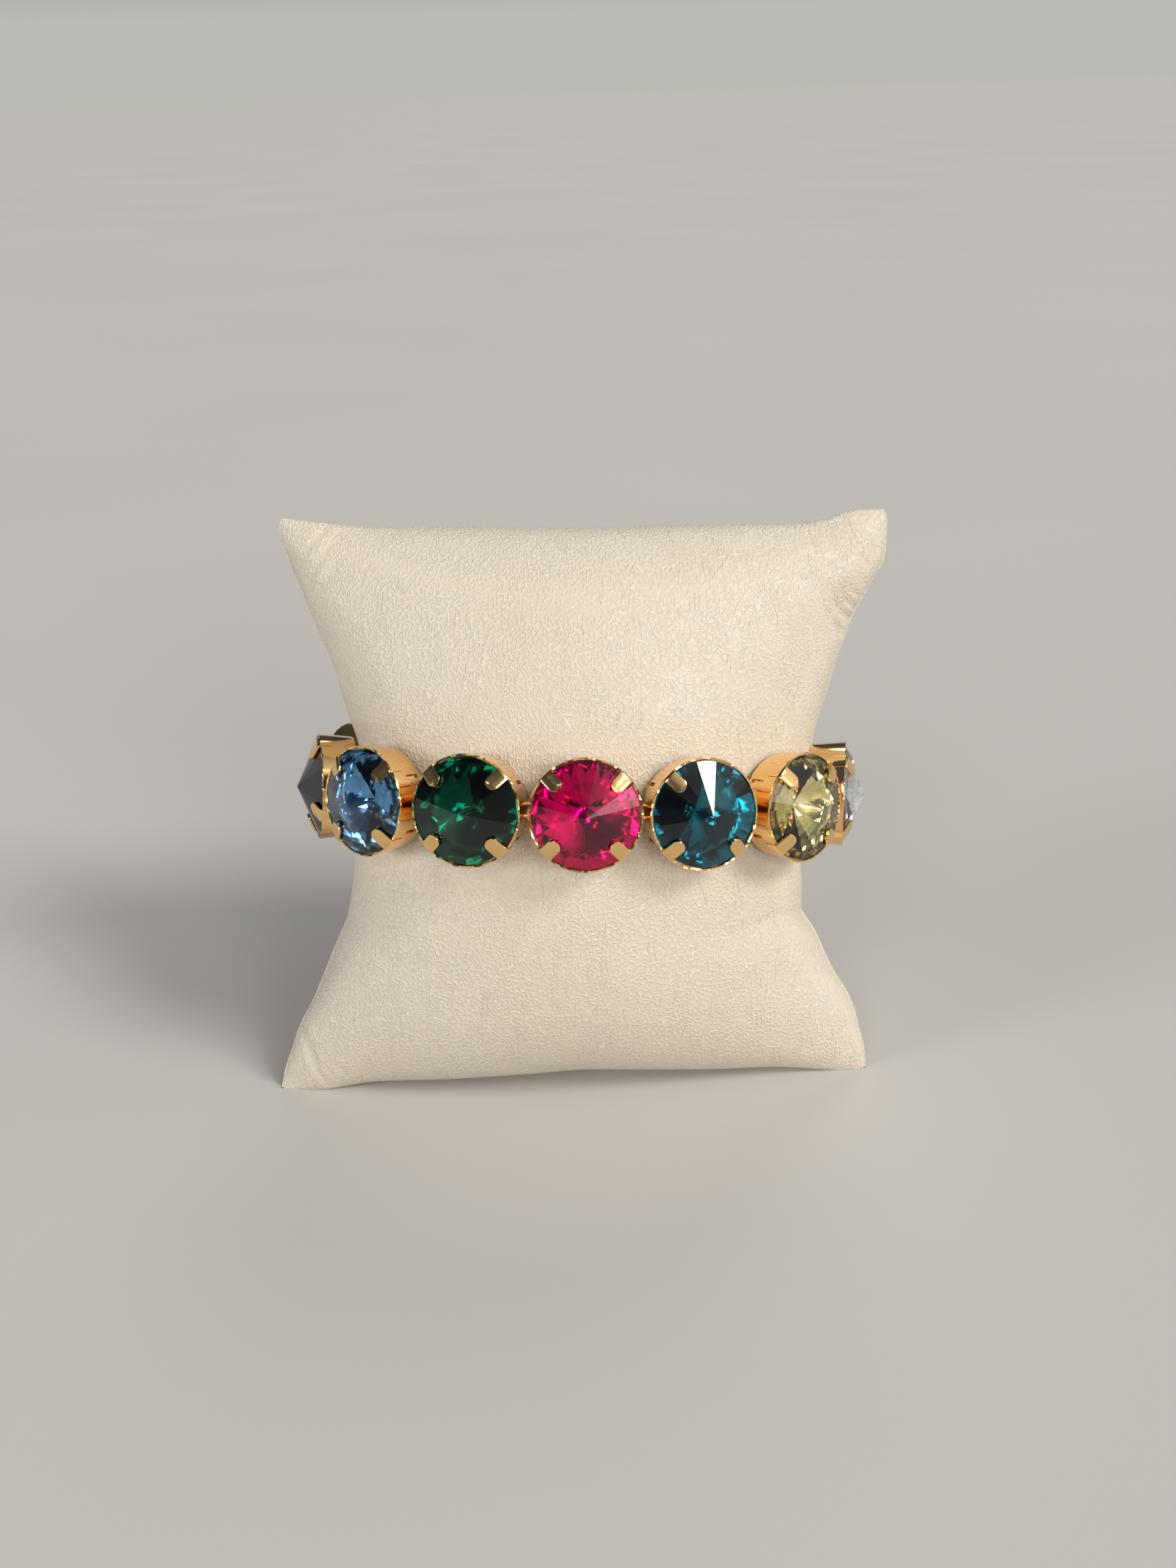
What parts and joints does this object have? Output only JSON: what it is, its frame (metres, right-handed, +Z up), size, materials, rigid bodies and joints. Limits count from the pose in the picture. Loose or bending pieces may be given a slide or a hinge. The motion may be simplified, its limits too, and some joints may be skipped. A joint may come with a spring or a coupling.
{
  "type": "crystal cup bracelet on a display pillow",
  "caption": "Bracelet of round pointed crystals in pronged gold cups, linked side to side and fastened round a leaning padded display pillow that stands on its own base.",
  "frame": {"origin": "on the surface the pillow rests on, under the middle of the whole object", "axes": "+Z up, -Y the way the middle stone and the pillow's face look, +X to the right as seen from the front"},
  "size_m": [0.0872, 0.0551, 0.0776],
  "materials": {
    "gold": "polished yellow gold plate",
    "leatherette": "cream pebbled leatherette, satin",
    "crystal_clear": "clear faceted crystal, foil backed",
    "crystal_yellow": "pale yellow faceted crystal, foil backed",
    "crystal_teal": "deep teal faceted crystal, foil backed",
    "crystal_ruby": "ruby pink faceted crystal, foil backed",
    "crystal_green": "emerald green faceted crystal, foil backed",
    "crystal_blue": "light sapphire blue faceted crystal, foil backed",
    "crystal_navy": "dark navy faceted crystal, foil backed"
  },
  "bodies": {
    "root": {"display_pillow": "leatherette", "cup_01": "gold", "cup_02": "gold", "cup_03": "gold", "cup_04": "gold", "cup_05": "gold", "cup_06": "gold", "cup_07": "gold", "cup_08": "gold", "cup_09": "gold", "cup_10": "gold", "cup_11": "gold", "cup_12": "gold", "stone_01": "crystal_clear", "stone_02": "crystal_yellow", "stone_03": "crystal_teal", "stone_04": "crystal_ruby", "stone_05": "crystal_green", "stone_06": "crystal_blue", "stone_07": "crystal_navy", "stone_08": "crystal_clear", "stone_09": "crystal_yellow", "stone_10": "crystal_teal", "stone_11": "crystal_ruby", "stone_12": "crystal_green", "link_01": "gold", "link_02": "gold", "link_03": "gold", "link_04": "gold", "link_05": "gold", "link_06": "gold", "link_07": "gold", "link_08": "gold", "link_09": "gold", "link_10": "gold", "link_11": "gold", "end_link_right": "gold", "end_link_left": "gold", "jump_ring_right": "gold", "jump_ring_left": "gold", "clasp": "gold"}
  },
  "joints": []
}
